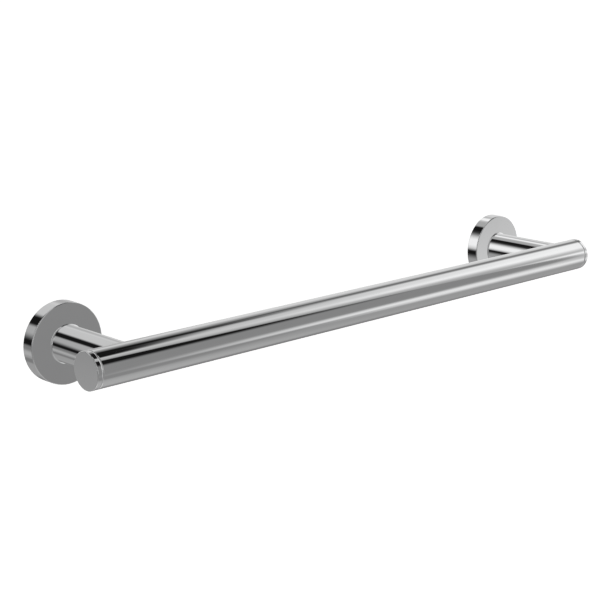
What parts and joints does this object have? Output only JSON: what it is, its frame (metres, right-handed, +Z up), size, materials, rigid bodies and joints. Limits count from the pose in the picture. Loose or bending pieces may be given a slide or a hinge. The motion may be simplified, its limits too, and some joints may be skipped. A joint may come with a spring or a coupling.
{
  "type": "grab bar",
  "caption": "Straight round chromed grab bar, held off the wall by round posts with disc flanges and closed by flat end caps.",
  "frame": {"origin": "on the wall plane, midway between the flanges, at the height of the bar's axis", "axes": "+X along the bar, +Y into the wall, +Z up"},
  "size_m": [0.494, 0.082, 0.0544],
  "materials": {
    "bar_chrome": "polished chrome plate",
    "cap_chrome": "polished chrome plate",
    "post_chrome": "polished chrome plate",
    "plate_zinc": "zinc plated",
    "fastener_steel": "stainless",
    "seal_rubber": "matte"
  },
  "bodies": {
    "root": {"bar_tube": "bar_chrome", "left_end_cap": "cap_chrome", "left_post": "post_chrome", "left_cap_o_ring": "seal_rubber", "left_post_bolt": "fastener_steel", "left_bolt_washer": "fastener_steel", "left_saddle_nut": "fastener_steel", "left_wall_plate": "plate_zinc", "left_grub_screw": "fastener_steel", "right_end_cap": "cap_chrome", "right_post": "post_chrome", "right_cap_o_ring": "seal_rubber", "right_post_bolt": "fastener_steel", "right_bolt_washer": "fastener_steel", "right_saddle_nut": "fastener_steel", "right_wall_plate": "plate_zinc", "right_grub_screw": "fastener_steel"}
  },
  "joints": []
}
